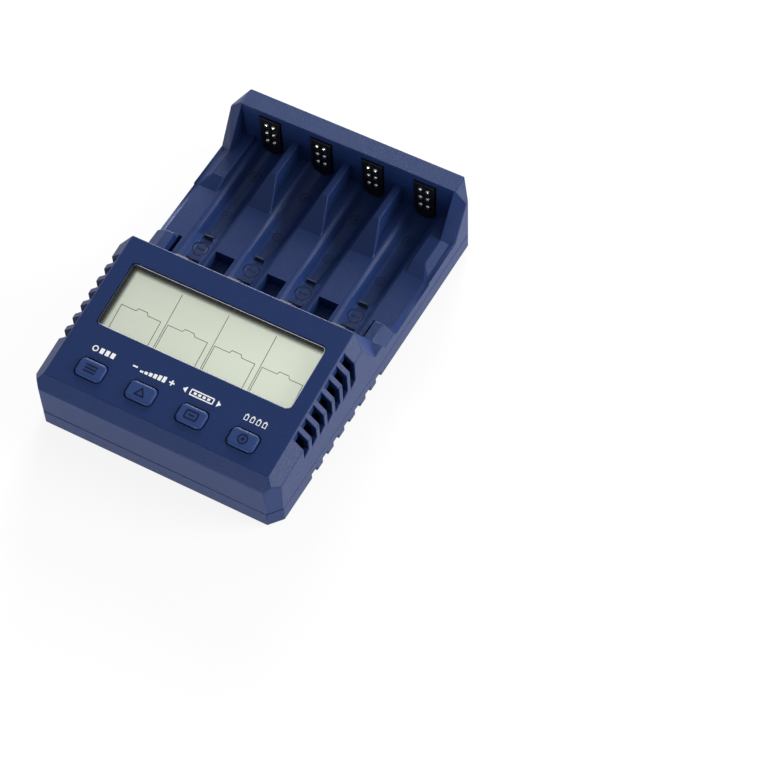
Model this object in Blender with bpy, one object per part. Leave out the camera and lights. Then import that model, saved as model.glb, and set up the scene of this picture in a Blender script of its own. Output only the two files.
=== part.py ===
"""Desktop charger for four AA or AAA cells.

A wedge shaped display block stands at the front, with a window and four push buttons in its
sloping top. Behind it lie four stepped troughs that take the cells, ended by a rear wall with
the positive contacts. X runs to the right, Y to the back, Z up. The origin is on the table,
under the middle of the case.
"""

import math

import bmesh
import bpy
from mathutils import Matrix, Vector

MM = 0.001

# Cells and bays, which set the width and the length of the case
BAY_COUNT = 4
BAY_PITCH = 21.6 * MM
BAY_SIDE = 6.3 * MM             # from the outer bays to the sides of the case
CELL_PLAY = 0.25 * MM
AA_RADIUS = 7.25 * MM
AA_LENGTH = 50.5 * MM
CELL_SPARE = 9.92 * MM          # deck beyond an AA cell, for the leaning negative contact
AAA_RADIUS = 5.25 * MM
AAA_LENGTH = 44.5 * MM

# Case
FOOT_STEP = 0.8 * MM            # the rubber feet lift the case by this much
PART_HEIGHT = 7.0 * MM          # seam between lower and upper case, above the case bottom
CASE_WALL = 2.2 * MM
FLOOR = 2.0 * MM
FRONT_CORNER = (4.1 * MM, 5.0 * MM)
REAR_CORNER = (5.0 * MM, 6.4 * MM)
NOTCH = (3.6 * MM, 1.0 * MM, 1.8 * MM)
NOTCH_COUNT = 7
FLOOR_SLOT = (2.6 * MM, 24.0 * MM)
FLOOR_SLOT_PITCH = 9.0 * MM

# Display block
DISPLAY_LENGTH = 63.8 * MM      # front face to the rear edge of its top
DISPLAY_HEIGHT = 34.6 * MM      # that rear edge above the case bottom
TOP_FALL = 0.162                # the top falls by this much per unit towards the front
REAR_SLANT = 0.589              # the block's rear face leans back by this much per unit of height
SIDE_CHAMFER = 4.5 * MM
REAR_FACET = 5.5 * MM           # the block's rear corners are cut back by this much at the sides
FRONT_BEVEL = (4.3 * MM, 4.6 * MM)

# Battery deck
DECK_HEIGHT = 12.4 * MM
AA_FLOOR = 9.7 * MM
AAA_FLOOR = 8.7 * MM
DECK_BOTTOM = 5.4 * MM
RIDGE_RISE = 8.4 * MM           # ridge between two bays above the deck
RIDGE_WIDTH = 2.8 * MM
RIDGE_FOOT = 3.6 * MM           # the ridge's foot is wider by this much on each side
RIDGE_SLOPE_START = 36.3 * MM   # from the rear face of the case
RIDGE_SLOPE_END = 24.5 * MM
TROUGH_SHOULDER = (3.0 * MM, 1.2 * MM)
SHOULDER_RISE = 2.0 * MM        # side strip beside the outer bays
EDGE_BEVEL = (1.9 * MM, 1.2 * MM)
WALL_HEIGHT = 30.5 * MM
WALL_THICKNESS = 7.7 * MM
PILLAR_WIDTH = 5.1 * MM
PILLAR_FOOT = 11.1 * MM
PIT_SIZE = (8.0 * MM, 8.0 * MM, 5.4 * MM)
CROWN_RISE = 3.35 * MM          # raised corner between the outer bays and the display block
CROWN_LENGTH = 6.4 * MM
CROWN_BEVEL = 4.25 * MM
OUTER_PIT = 1.7 * MM

# Side vents in the display block
VENT_COUNT = 7
VENT_START = 20.3 * MM
VENT_REAR = 8.14 * MM           # from the last slot to the rear edge of the top
VENT_WIDTH = 3.2 * MM
VENT_FOOT = 17.6 * MM
VENT_EDGE = 0.6 * MM

# Window and display
WINDOW_SIDE = 10.0 * MM         # from the sides of the case
WINDOW_FRONT = 28.6 * MM
WINDOW_REAR = 8.4 * MM          # from the rear edge of the top
WINDOW_CORNER = 2.0 * MM
WINDOW_RECESS = 0.9 * MM
GLASS_THICKNESS = 1.6 * MM
LIGHT_THICKNESS = 2.4 * MM
BOARD_THICKNESS = 1.6 * MM
BOARD_DEPTH = 8.8 * MM          # display board below the top face
BOARD_FRONT = 6.5 * MM
BOARD_REAR = 6.0 * MM
LENS_FLANGE = 0.8 * MM
LENS_GRIP = 1.2 * MM            # the flange is wider than the opening by this much
FRAME_WALL = 1.4 * MM

# Push buttons
BUTTON_COUNT = 4
BUTTON_PITCH = 20.4 * MM
BUTTON_SIZE = (10.6 * MM, 7.0 * MM)
BUTTON_CENTRE = 12.3 * MM
BUTTON_CORNER = 1.7 * MM
BUTTON_RISE = 0.9 * MM
BUTTON_GAP = 0.45 * MM
BUTTON_TRAVEL = 0.4 * MM
BUTTON_BEVEL = 0.5 * MM
BUTTON_FLANGE = (0.9 * MM, 1.2 * MM)
STEM_RADIUS = 1.7 * MM
SWITCH_SIZE = (6.0 * MM, 3.0 * MM)

# Contacts
DOME_RADIUS = 0.95 * MM
DOME_PITCH = (2.95 * MM, 4.3 * MM)
DOME_LOWEST = 15.6 * MM
STRIP = 0.4 * MM                # thickness of the contact strip
PLATE_MARGIN = (1.95 * MM, 2.2 * MM)
PLATE_TAIL = 2.8 * MM
PLATE_SET = 1.0 * MM            # plate behind the face of the rear wall
INSERT_WIDTH = 8.4 * MM
INSERT_RISE = 3.2 * MM
INSERT_STAND = 0.7 * MM         # insert in front of the face of the rear wall
DOME_STAND = 1.2 * MM
AA_LEAF = (4.8 * MM, 0.8 * MM)
AAA_LEAF = 3.5 * MM
LEAF_SLOT = 1.5 * MM

# Fits
GAP = 0.3 * MM                  # between parts that lie against each other
BOARD_GAP = 0.4 * MM            # main board below the deck
SCREW_RADIUS = 1.2 * MM
SCREW_LENGTH = 8.0 * MM
SCREW_HEAD = 2.4 * MM
SCREW_HEAD_DEPTH = 3.2 * MM
SCREW_SLOT = 0.6 * MM
SCREW_INSET = 6.3 * MM
SCREW_FRONT = 10.5 * MM
SCREW_REAR = 14.0 * MM
BOSS_WALL = 1.8 * MM
POST_RADIUS = 2.2 * MM
POST_INSET = 8.2 * MM           # board posts from the side edges of the main board
FOOT_RADIUS = 4.5 * MM
FOOT_DEPTH = 0.8 * MM
FOOT_INSET = 13.5 * MM
FOOT_FRONT = 13.0 * MM
FOOT_REAR = 15.0 * MM

# Parts on the main board
INLET = (7.6 * MM, 5.4 * MM, 2.8 * MM)
INLET_OPENING = (8.8 * MM, 3.6 * MM)
INLET_SET = 0.6 * MM            # socket behind the rear face
INLET_WALL = 0.5 * MM
INLET_TONGUE = (4.0 * MM, 0.6 * MM)
CHIP = (10.0 * MM, 1.4 * MM)
COIL = (6.4 * MM, 3.2 * MM)
CAPACITOR = (3.1 * MM, 6.5 * MM)
BEEPER = (4.5 * MM, 3.4 * MM)
PLUG = (14.0 * MM, 3.0 * MM, 2.4 * MM)
PLUG_FRONT = 20.0 * MM
RIBBON = (12.0 * MM, 0.6 * MM)

DISPLAY_FOOT = DISPLAY_LENGTH + REAR_SLANT * (DISPLAY_HEIGHT - DECK_HEIGHT)
WIDTH = BAY_COUNT * BAY_PITCH + 2 * BAY_SIDE
LENGTH = DISPLAY_FOOT + AA_LENGTH + CELL_SPARE + WALL_THICKNESS
WINDOW_SIZE = (WIDTH - 2 * WINDOW_SIDE, DISPLAY_LENGTH - WINDOW_FRONT - WINDOW_REAR)
WINDOW_CENTRE = WINDOW_FRONT + WINDOW_SIZE[1] / 2
VENT_PITCH = (DISPLAY_LENGTH - VENT_REAR - VENT_START - VENT_WIDTH) / (VENT_COUNT - 1)

BLUE = (0.055, 0.085, 0.25)
NICKEL = (0.62, 0.60, 0.55)
BLACK = (0.012, 0.012, 0.014)


# Coordinates: y() counts from the front face, z() from the bottom of the case
def y(distance):
    return distance - LENGTH / 2


def z(height):
    return FOOT_STEP + height


def top_z(distance):
    """Height of the display block's sloping top at a distance behind the front face."""
    return z(DISPLAY_HEIGHT - TOP_FALL * (DISPLAY_LENGTH - distance))


def slant_y(height):
    """Rear face of the display block at a height above the case bottom."""
    return y(DISPLAY_LENGTH + REAR_SLANT * (DISPLAY_HEIGHT - height))


def bay_x(index):
    return (index - (BAY_COUNT - 1) / 2) * BAY_PITCH


TOP_ANGLE = math.atan(TOP_FALL)
TOP_NORMAL = Vector((0, -math.sin(TOP_ANGLE), math.cos(TOP_ANGLE)))
TOP_ALONG = Vector((0, math.cos(TOP_ANGLE), math.sin(TOP_ANGLE)))
AA_AXIS = AA_FLOOR + AA_RADIUS + CELL_PLAY
AAA_AXIS = AAA_FLOOR + AAA_RADIUS + CELL_PLAY
WALL_FACE = LENGTH - WALL_THICKNESS
DOME_TIP = WALL_FACE - DOME_STAND
AAA_STOP = DOME_TIP - AAA_LENGTH - 2 * GAP
INNER_HALF = WIDTH / 2 - CASE_WALL
SCREW_X = WIDTH / 2 - SCREW_INSET
SCREW_PLACES = [(side * SCREW_X, along) for side in (-1, 1) for along in (SCREW_FRONT, LENGTH - SCREW_REAR)]
BOSS_RADIUS = SCREW_HEAD + BOSS_WALL
BOARD_TOP = DECK_BOTTOM - BOARD_GAP
BOARD_HALF = SCREW_X - BOSS_RADIUS - 2 * GAP
BOARD_REACH = (SCREW_FRONT / 2, LENGTH - CASE_WALL - 4 * GAP)


def clear_scene():
    for item in list(bpy.data.objects):
        bpy.data.objects.remove(item, do_unlink=True)


def paint(name, colour, roughness, metallic=0.0, alpha=1.0):
    """Principled material of one sub-part."""
    material = bpy.data.materials.new(name)
    material.use_nodes = True
    shader = material.node_tree.nodes["Principled BSDF"]
    shader.inputs["Base Color"].default_value = (*colour, 1.0)
    shader.inputs["Roughness"].default_value = roughness
    shader.inputs["Metallic"].default_value = metallic
    shader.inputs["Alpha"].default_value = alpha
    material.diffuse_color = (*colour, alpha)
    return material


def to_object(name, bm, material=None):
    bmesh.ops.recalc_face_normals(bm, faces=bm.faces)
    mesh = bpy.data.meshes.new(name)
    bm.to_mesh(mesh)
    bm.free()
    item = bpy.data.objects.new(name, mesh)
    bpy.context.scene.collection.objects.link(item)
    if material:
        mesh.materials.append(material)
    return item


def loft(sections):
    """Closed solid through a list of point loops with the same number of points each."""
    bm = bmesh.new()
    loops = [[bm.verts.new(p) for p in loop] for loop in sections]
    for lower, upper in zip(loops, loops[1:]):
        for i in range(len(lower)):
            j = (i + 1) % len(lower)
            bm.faces.new((lower[i], lower[j], upper[j], upper[i]))
    bm.faces.new(loops[0])
    bm.faces.new(loops[-1])
    return bm


def prism_x(outline, x0, x1):
    return loft([[(x, a, b) for a, b in outline] for x in (x0, x1)])


def prism_y(outline, y0, y1):
    return loft([[(a, v, b) for a, b in outline] for v in (y0, y1)])


def prism_z(outline, z0, z1):
    return loft([[(a, b, v) for a, b in outline] for v in (z0, z1)])


def block(x0, x1, y0, y1, z0, z1):
    return prism_z([(x0, y0), (x1, y0), (x1, y1), (x0, y1)], z0, z1)


def hull(points):
    """Convex solid around a set of points."""
    bm = bmesh.new()
    for p in points:
        bm.verts.new(p)
    made = bmesh.ops.convex_hull(bm, input=bm.verts)
    spare = [v for v in set(made["geom_interior"] + made["geom_unused"]) if isinstance(v, bmesh.types.BMVert)]
    bmesh.ops.delete(bm, geom=spare, context="VERTS")
    bmesh.ops.dissolve_limit(bm, angle_limit=0.001, verts=bm.verts, edges=bm.edges)
    return bm


def disc(radius, sides, centre=(0.0, 0.0)):
    """Points of a regular polygon around a centre."""
    return [(centre[0] + radius * math.cos(2 * math.pi * i / sides),
             centre[1] + radius * math.sin(2 * math.pi * i / sides)) for i in range(sides)]


def rounded(width, depth, radius, steps=4):
    """Rectangle outline with round corners, centred on the origin."""
    points = []
    for cx, cy, start in ((1, 1, 0), (-1, 1, 90), (-1, -1, 180), (1, -1, 270)):
        for i in range(steps + 1):
            angle = math.radians(start + 90 * i / steps)
            points.append((cx * (width / 2 - radius) + radius * math.cos(angle),
                           cy * (depth / 2 - radius) + radius * math.sin(angle)))
    return points


def combine(item, solids, operation):
    """Applies one exact Boolean per solid to an object; the solids are used up."""
    for bm in solids:
        tool = to_object("tool", bm)
        step = item.modifiers.new("step", "BOOLEAN")
        step.object = tool
        step.operation = operation
        step.solver = "EXACT"
        graph = bpy.context.evaluated_depsgraph_get()
        mesh = bpy.data.meshes.new_from_object(item.evaluated_get(graph))
        item.modifiers.remove(step)
        old = item.data
        item.data = mesh
        bpy.data.meshes.remove(old)
        bpy.data.objects.remove(tool, do_unlink=True)
    item.data.name = item.name
    return item


def cut(item, solids):
    return combine(item, solids, "DIFFERENCE")


def add(item, solids):
    return combine(item, solids, "UNION")


def on_top(item, across, along, depth=0.0):
    """Places an object, made with its Z along the slope's normal, on the sloping top face."""
    foot = Vector((across, y(along), top_z(along))) - TOP_NORMAL * depth
    item.matrix_world = Matrix.Translation(foot) @ Matrix.Rotation(TOP_ANGLE, 4, "X")
    return item


def tilt(bm, across, along, depth=0.0):
    """Moves a solid made around the origin onto the sloping top face."""
    foot = Vector((across, y(along), top_z(along))) - TOP_NORMAL * depth
    bm.transform(Matrix.Translation(foot) @ Matrix.Rotation(TOP_ANGLE, 4, "X"))
    return bm


def plan_outline(inset=0.0):
    """Outline of the case seen from above, with its four cut corners."""
    half = WIDTH / 2 - inset
    near = y(inset)
    far = y(LENGTH - inset)
    fx, fy = FRONT_CORNER
    rx, ry = REAR_CORNER
    return [(-half + fx, near), (half - fx, near), (half, near + fy), (half, far - ry),
            (half - rx, far), (-half + rx, far), (-half, far - ry), (-half, near + fy)]


def trough_section(radius, axis, deck, fillet, above, steps=6, fillet_steps=3):
    """Cross-section (x, z) of a cell trough with a rounded shoulder up to the deck."""
    reach = math.sqrt((radius + fillet) ** 2 - (axis - deck + fillet) ** 2)
    lean = math.atan2(reach, axis - deck + fillet)
    half = [(radius * math.sin(lean * i / steps), axis - radius * math.cos(lean * i / steps))
            for i in range(steps + 1)]
    for i in range(1, fillet_steps + 1):
        turn = lean * (1 - i / fillet_steps)
        half.append((reach - fillet * math.sin(turn), deck - fillet + fillet * math.cos(turn)))
    half.append((half[-1][0], above))
    return [(-a, b) for a, b in reversed(half[1:])] + half


def side_blocks(side):
    """Raised strip, front gusset and rear pillar on one side of the battery deck."""
    edge = side * WIDTH / 2
    inner = side * (bay_x(BAY_COUNT - 1) + AA_RADIUS)
    lift = DECK_HEIGHT + SHOULDER_RISE
    low = z(PART_HEIGHT + GAP)
    start = y(LENGTH - RIDGE_SLOPE_START)
    flat = start + SHOULDER_RISE * 3
    wall = y(WALL_FACE)
    bevel = edge - side * (EDGE_BEVEL[0] + 1.5 * SHOULDER_RISE)
    strip = hull([(inner, start, low), (edge, start, low), (inner, wall + 2 * MM, low),
                  (edge, wall + 2 * MM, low),
                  (inner, start, z(DECK_HEIGHT)), (edge - side * EDGE_BEVEL[0], start, z(DECK_HEIGHT)),
                  (edge, start, z(DECK_HEIGHT - EDGE_BEVEL[1])),
                  (edge, wall + 2 * MM, z(DECK_HEIGHT - EDGE_BEVEL[1])),
                  (inner, flat, z(lift)), (bevel, flat, z(lift)),
                  (inner, wall + 2 * MM, z(lift)), (bevel, wall + 2 * MM, z(lift))])
    crown = z(DECK_HEIGHT + CROWN_RISE)
    back = y(DISPLAY_LENGTH)
    end = slant_y(DECK_HEIGHT) + CROWN_LENGTH
    inside = inner + side * (OUTER_PIT + CELL_PLAY)
    top_edge = edge - side * CROWN_BEVEL
    ledge = ((back, crown), (end, crown), (end + CROWN_RISE / 2, low))
    gusset = hull([(a, b, c) for a in (inside, top_edge) for b, c in ledge] +
                  [(inside, back, low), (edge, back, low), (edge, end + CROWN_RISE / 2, low),
                   (edge, back, z(DECK_HEIGHT + GAP)), (edge, end + GAP, z(DECK_HEIGHT + GAP))])
    pillar_in = edge - side * PILLAR_WIDTH
    foot = wall - PILLAR_FOOT
    pillar = hull([(pillar_in, wall, z(WALL_HEIGHT)), (edge, wall, z(WALL_HEIGHT - SIDE_CHAMFER)),
                   (pillar_in, foot, z(lift)), (edge, foot + EDGE_BEVEL[0], z(DECK_HEIGHT - EDGE_BEVEL[1])),
                   (pillar_in, foot, low), (edge, foot + EDGE_BEVEL[0], low),
                   (pillar_in, wall + 2 * MM, low), (edge, wall + 2 * MM, low),
                   (pillar_in, wall + 2 * MM, z(WALL_HEIGHT)),
                   (edge, wall + 2 * MM, z(WALL_HEIGHT - SIDE_CHAMFER))])
    return strip, gusset, pillar


def deck_edge(side):
    """Cutter for the small slanted edge along one side of the battery deck."""
    edge = side * WIDTH / 2
    across, down = EDGE_BEVEL
    inner, outer = edge - side * across, edge + side * across
    section = [(inner, z(DECK_HEIGHT)), (outer, z(DECK_HEIGHT - 2 * down)), (outer, z(DECK_HEIGHT + down)),
               (inner, z(DECK_HEIGHT + down))]
    return prism_y(section, slant_y(DECK_HEIGHT) + 3 * MM, y(LENGTH - RIDGE_SLOPE_START))


def bay_pocket(index):
    """Cutter for the wide rear end of a bay, between its two ridges."""
    x = bay_x(index)
    first, last = index == 0, index == BAY_COUNT - 1
    wide = (BAY_PITCH - RIDGE_WIDTH) / 2
    start = y(LENGTH - RIDGE_SLOPE_START)
    full = y(LENGTH - RIDGE_SLOPE_END)
    wall = y(WALL_FACE)
    narrow = wide - RIDGE_FOOT
    outer = (AA_RADIUS + CELL_PLAY / 2, AA_RADIUS + CELL_PLAY / 2)
    left = outer if first else (narrow, wide)
    right = outer if last else (narrow, wide)
    outline = [(x - left[0], start - 3 * MM), (x + right[0], start - 3 * MM), (x + right[0], start),
               (x + right[1], full), (x + right[1], wall), (x - left[1], wall), (x - left[1], full),
               (x - left[0], start)]
    return prism_z(outline, z(DECK_HEIGHT), z(WALL_HEIGHT + 5 * MM))


def bay_troughs(index):
    """Cutters for the AA trough and the deeper AAA channel of a bay."""
    x = bay_x(index)
    radius = AA_RADIUS + CELL_PLAY
    ends = []
    front, rear = TROUGH_SHOULDER
    for fillet, place in ((front, None), (rear, y(LENGTH - RIDGE_SLOPE_START)), (rear, y(WALL_FACE))):
        section = trough_section(radius, AA_AXIS, DECK_HEIGHT, fillet, DECK_HEIGHT + 6 * MM)
        ends.append([(x + a, slant_y(b) if place is None else place, z(b)) for a, b in section])
    narrow = AAA_RADIUS + CELL_PLAY
    arc = [(narrow * math.sin(math.radians(t)), AAA_AXIS - narrow * math.cos(math.radians(t)))
           for t in range(-90, 91, 15)]
    channel = [[(x + a, v, z(b)) for a, b in arc] for v in (y(AAA_STOP), y(WALL_FACE))]
    trough = loft(ends)
    bmesh.ops.triangulate(trough, faces=[f for f in trough.faces if len(f.verts) == 4])
    return trough, loft(channel)


def contact_outline(grow=0.0, floor=0.0):
    """Outline (x, z) of the black contact insert: flat top, round foot along the channel."""
    half = INSERT_WIDTH / 2 + grow
    crown = DOME_LOWEST + 2 * DOME_PITCH[1] + INSERT_RISE + grow
    foot = floor + GAP - grow + half
    points = [(half, crown), (-half, crown), (-half, foot)]
    for i in range(1, 8):
        angle = math.pi * (1 + i / 8)
        points.append((half * math.cos(angle), foot + half * math.sin(angle)))
    points.append((half, foot))
    return points


def contact_pocket(index):
    """Cutters for the pocket of a positive contact and the slot for its tail."""
    x = bay_x(index)
    back = WALL_FACE + PLATE_SET + STRIP + 2 * GAP
    pocket = prism_y([(x + a, z(b)) for a, b in contact_outline(GAP, AAA_FLOOR)],
                     y(WALL_FACE - DOME_STAND), y(back))
    half = PLATE_TAIL / 2 + GAP
    tail = block(x - half, x + half, y(WALL_FACE + PLATE_SET - GAP), y(back), z(BOARD_TOP), z(DOME_LOWEST))
    return pocket, tail


def negative_slots(index):
    """Cutters for the slots of the two negative contact strips of a bay."""
    x = bay_x(index)
    low = z(BOARD_TOP)
    half = AAA_LEAF / 2 + GAP
    aaa = block(x - half, x + half, y(AAA_STOP - LEAF_SLOT + STRIP), y(AAA_STOP + STRIP), low,
                z(AA_FLOOR + LEAF_SLOT))
    foot, head = AA_FLOOR - 2 * GAP, AA_AXIS + AA_RADIUS * 0.6
    half = AA_LEAF[0] / 2 + STRIP
    recess = prism_x([(slant_y(foot) - LEAF_SLOT, z(foot)), (slant_y(foot) + LEAF_SLOT, z(foot)),
                      (slant_y(head) + LEAF_SLOT, z(head)), (slant_y(head) - LEAF_SLOT, z(head))],
                     x - half, x + half)
    way = block(x - half, x + half, slant_y(AA_FLOOR) - LEAF_SLOT + GAP, slant_y(AA_FLOOR) + 2 * GAP,
                low, z(AA_FLOOR + GAP))
    return aaa, recess, way


def vent_cutters(side):
    """Slanted slots down one side of the display block."""
    solids = []
    inner = side * (WIDTH / 2 - SIDE_CHAMFER + VENT_EDGE)
    outer = side * (WIDTH / 2 + 2 * MM)
    for i in range(VENT_COUNT):
        near = VENT_START + i * VENT_PITCH
        far = near + VENT_WIDTH
        outline = [(y(near), z(VENT_FOOT)), (y(far), z(VENT_FOOT + 1.6 * MM)),
                   (y(far), top_z(far) + 2 * MM), (y(near), top_z(near) + 2 * MM)]
        solids.append(prism_x(outline, inner, outer))
    return solids


def inner_cavity():
    """Hollow of the display block, following its outer faces at the wall thickness."""
    half = INNER_HALF
    wall = CASE_WALL
    near, far = wall, DISPLAY_LENGTH - 1.2 * wall
    slope = wall / math.cos(TOP_ANGLE)
    low = z(BOARD_TOP)
    floor_far = slant_y(DECK_BOTTOM) - 2.6 * wall
    fx, fy = FRONT_CORNER
    points = []
    for side in (-1, 1):
        points += [(side * (half - fx), y(near), low), (side * half, y(near) + fy, low),
                   (side * half, floor_far, low),
                   (side * (half - fx), y(near), z(DISPLAY_HEIGHT * 0.5)),
                   (side * (half - fx), y(near + FRONT_BEVEL[0]), top_z(near + FRONT_BEVEL[0]) - slope)]
        for along in (near + fy, far):
            points.append((side * half, y(along), top_z(along) - SIDE_CHAMFER - 0.6 * wall))
            points.append((side * (half - SIDE_CHAMFER + 0.5 * wall), y(along), top_z(along) - slope))
    return hull(points)


def top_case():
    """Upper case: display block, stepped battery deck, rear wall, vents and openings."""
    shell = paint("top_case_blue", BLUE, 0.5)
    half = WIDTH / 2 + 3 * MM
    deck = z(DECK_HEIGHT)
    bevel_y, bevel_z = FRONT_BEVEL
    profile = [(y(0), z(PART_HEIGHT)), (y(0), top_z(bevel_y) - bevel_z), (y(bevel_y), top_z(bevel_y)),
               (y(DISPLAY_LENGTH), z(DISPLAY_HEIGHT)), (slant_y(DECK_HEIGHT), deck),
               (y(LENGTH - RIDGE_SLOPE_START), deck), (y(LENGTH - RIDGE_SLOPE_END), deck + RIDGE_RISE),
               (y(WALL_FACE), deck + RIDGE_RISE), (y(WALL_FACE), z(WALL_HEIGHT)),
               (y(LENGTH), z(WALL_HEIGHT)), (y(LENGTH), z(PART_HEIGHT))]
    item = to_object("top_case", prism_x(profile, -half, half), shell)

    # side strips first lose the ridge height, then get their own blocks
    for side in (-1, 1):
        inner = side * (bay_x(BAY_COUNT - 1) + AA_RADIUS - 0.5 * MM)
        outer = side * half
        cut(item, [prism_x([(y(LENGTH - RIDGE_SLOPE_START) - 1 * MM, deck), (y(WALL_FACE), deck),
                            (y(WALL_FACE), z(WALL_HEIGHT + 3 * MM)),
                            (y(LENGTH - RIDGE_SLOPE_START) - 1 * MM, z(WALL_HEIGHT + 3 * MM))],
                           inner, outer)])
    for side in (-1, 1):
        cut(item, [deck_edge(side)])
        add(item, side_blocks(side))

    # plan outline, long edge chamfers and rear corners of the display block
    combine(item, [prism_z(plan_outline(), z(0), z(DISPLAY_HEIGHT + 10 * MM))], "INTERSECT")
    for side in (-1, 1):
        edge = side * WIDTH / 2
        reach = 3 * MM
        wedge = [(edge - side * (SIDE_CHAMFER + reach), reach), (edge + side * reach, -SIDE_CHAMFER - reach),
                 (edge + side * reach, reach + 4 * MM),
                 (edge - side * (SIDE_CHAMFER + reach), reach + 4 * MM)]
        length = DISPLAY_LENGTH + 2 * MM
        cut(item, [loft([[(a, y(v), top_z(v) + b) for a, b in wedge] for v in (-2 * MM, length)]),
                   prism_y([(a, z(WALL_HEIGHT) + b) for a, b in wedge],
                           y(WALL_FACE) - 12 * MM, y(LENGTH) + 2 * MM)])
        lean = REAR_FACET / SIDE_CHAMFER
        corner = []
        for height in (DISPLAY_HEIGHT + 3 * MM, DECK_HEIGHT + CROWN_RISE):
            back = slant_y(height)
            inside, outside = edge - side * (SIDE_CHAMFER + reach), edge + side * reach
            corner.append([(inside, back + lean * reach, z(height)),
                           (outside, back - REAR_FACET - lean * reach, z(height)),
                           (outside, back + 3 * reach, z(height)), (inside, back + 3 * reach, z(height))])
        cut(item, [loft(corner)])

    # solid underside of the deck reaches down into the lower case
    reach_x = INNER_HALF - GAP
    add(item, [prism_z([(-reach_x, slant_y(DECK_BOTTOM) - 3.5 * CASE_WALL),
                        (reach_x, slant_y(DECK_BOTTOM) - 3.5 * CASE_WALL),
                        (reach_x, y(LENGTH) - REAR_CORNER[1] - CASE_WALL - GAP),
                        (reach_x - REAR_CORNER[0], y(LENGTH - CASE_WALL - GAP)),
                        (-reach_x + REAR_CORNER[0], y(LENGTH - CASE_WALL - GAP)),
                        (-reach_x, y(LENGTH) - REAR_CORNER[1] - CASE_WALL - GAP)],
                       z(DECK_BOTTOM), z(PART_HEIGHT + 1 * MM))])

    # battery bays
    for index in range(BAY_COUNT):
        cut(item, [bay_pocket(index)])
    for index in range(BAY_COUNT):
        cut(item, bay_troughs(index))
    width, depth, drop = PIT_SIZE
    outer = bay_x(BAY_COUNT - 1) + AA_RADIUS + 0.25 * MM + OUTER_PIT / 2
    middles = [(bay_x(index) + BAY_PITCH / 2, width) for index in range(BAY_COUNT - 1)]
    for x, width in middles + [(-outer, OUTER_PIT), (outer, OUTER_PIT)]:
        near, base = slant_y(DECK_HEIGHT) + 0.4 * MM, z(DECK_HEIGHT - drop)
        outline = [(near + REAR_SLANT * drop, base), (near + depth, base), (near + depth, deck + 2 * MM),
                   (near, deck + 2 * MM), (near, deck)]
        cut(item, [prism_x(outline, x - width / 2, x + width / 2)])

    cut(item, [inner_cavity()])
    for place in SCREW_PLACES:
        if place[1] < DISPLAY_LENGTH:
            add(item, [prism_z(disc(SCREW_RADIUS + BOSS_WALL + GAP, 16, (place[0], y(place[1]))),
                               z(DECK_BOTTOM),
                               top_z(place[1]) - CASE_WALL + GAP)])
        cut(item, [prism_z(disc(SCREW_RADIUS + GAP, 12, (place[0], y(place[1]))), z(BOARD_TOP),
                           z(SCREW_HEAD_DEPTH + SCREW_LENGTH + GAP))])

    for index in range(BAY_COUNT):
        cut(item, contact_pocket(index))
        cut(item, negative_slots(index))
    for side in (-1, 1):
        cut(item, vent_cutters(side))

    # window, button holes and the inlet at the back
    frame = rounded(*WINDOW_SIZE, WINDOW_CORNER)
    cut(item, [tilt(prism_z(frame, -2 * CASE_WALL, 2 * MM), 0, WINDOW_CENTRE)])
    hole = rounded(BUTTON_SIZE[0] + 2 * BUTTON_GAP, BUTTON_SIZE[1] + 2 * BUTTON_GAP,
                   BUTTON_CORNER + BUTTON_GAP, 3)
    for index in range(BUTTON_COUNT):
        x = (index - (BUTTON_COUNT - 1) / 2) * BUTTON_PITCH
        cut(item, [tilt(prism_z(hole, -2 * CASE_WALL, 2 * MM), x, BUTTON_CENTRE)])
    half = INLET_OPENING[0] / 2
    cut(item, [block(-half, half, y(LENGTH - INLET[1] - 4 * INLET_SET), y(LENGTH + INLET_SET), z(BOARD_TOP),
                     z(BOARD_TOP + INLET_OPENING[1] + GAP))])
    return item


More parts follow.
